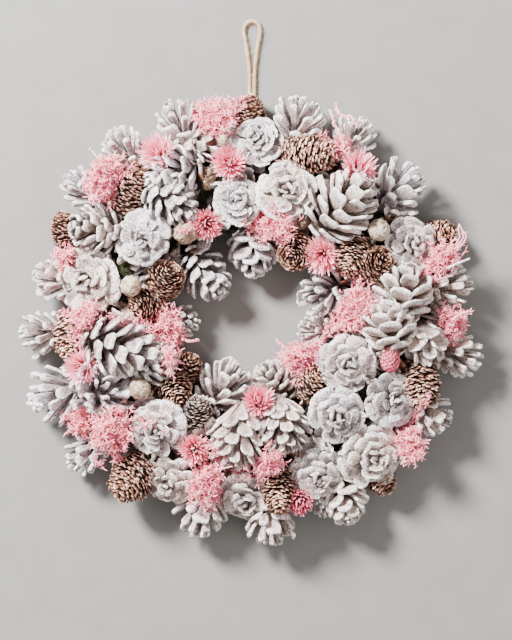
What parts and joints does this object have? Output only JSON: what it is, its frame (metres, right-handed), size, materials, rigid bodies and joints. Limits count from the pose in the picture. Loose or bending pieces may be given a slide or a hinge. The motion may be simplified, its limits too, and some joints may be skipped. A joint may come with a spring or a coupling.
{
  "type": "pine cone wreath",
  "caption": "Round pine cone wreath with whitewashed and brown cones, pink flower heads, pink moss tufts and cream balls on a green ring, with a jute hanging loop.",
  "frame": {"origin": "on the surface the wreath lies on, below the middle of the wreath's outline without the hanging loop", "axes": "+Z out of the wreath's front, +Y towards its top, where the hanging loop is, +X to the viewer's right"},
  "size_m": [0.4152, 0.4733, 0.082],
  "materials": {
    "white_cones": "Open pine cones washed with matt white paint; grey-brown wood shows through between the scales.",
    "brown_cone": "Natural brown cones with small scales and paler scale tips, dry and matt.",
    "pink_flower": "Dried flower heads dyed pink, many thin petals, matt.",
    "pink_spray": "Preserved moss dyed pink, a tangle of fine branching strands, matt.",
    "cream_ball": "Dried seed balls, cream, wrinkled and matt.",
    "pink_bud": "Small dried bud dyed pink, covered with fine grains.",
    "green_base": "Straw ring bound with dark green moss, rough and matt.",
    "jute_twine": "Natural jute twine, twisted and hairy."
  },
  "bodies": {
    "root": {"white_cones_01": "white_cones", "white_cones_02": "white_cones", "white_cones_03": "white_cones", "white_cones_04": "white_cones", "white_cones_05": "white_cones", "white_cones_06": "white_cones", "white_cones_07": "white_cones", "white_cones_08": "white_cones", "white_cones_09": "white_cones", "white_cones_10": "white_cones", "white_cones_11": "white_cones", "white_cones_12": "white_cones", "white_cones_13": "white_cones", "white_cones_14": "white_cones", "white_cones_15": "white_cones", "white_cones_16": "white_cones", "white_cones_17": "white_cones", "brown_cone_01": "brown_cone", "brown_cone_02": "brown_cone", "brown_cone_03": "brown_cone", "brown_cone_04": "brown_cone", "brown_cone_05": "brown_cone", "brown_cone_06": "brown_cone", "brown_cone_07": "brown_cone", "brown_cone_08": "brown_cone", "brown_cone_09": "brown_cone", "brown_cone_10": "brown_cone", "brown_cone_11": "brown_cone", "brown_cone_12": "brown_cone", "brown_cone_13": "brown_cone", "brown_cone_14": "brown_cone", "brown_cone_15": "brown_cone", "brown_cone_16": "brown_cone", "pink_flower_01": "pink_flower", "pink_flower_02": "pink_flower", "pink_flower_03": "pink_flower", "pink_flower_04": "pink_flower", "pink_flower_05": "pink_flower", "pink_flower_06": "pink_flower", "pink_spray_01": "pink_spray", "pink_spray_02": "pink_spray", "pink_spray_03": "pink_spray", "pink_spray_04": "pink_spray", "pink_spray_05": "pink_spray", "pink_spray_06": "pink_spray", "pink_spray_07": "pink_spray", "pink_spray_08": "pink_spray", "pink_spray_09": "pink_spray", "pink_spray_10": "pink_spray", "pink_spray_11": "pink_spray", "pink_spray_12": "pink_spray", "pink_spray_13": "pink_spray", "pink_spray_14": "pink_spray", "cream_ball_01": "cream_ball", "cream_ball_02": "cream_ball", "cream_ball_03": "cream_ball", "cream_ball_04": "cream_ball", "pink_bud": "pink_bud", "base_ring": "green_base", "hanging_loop": "jute_twine"}
  },
  "joints": []
}
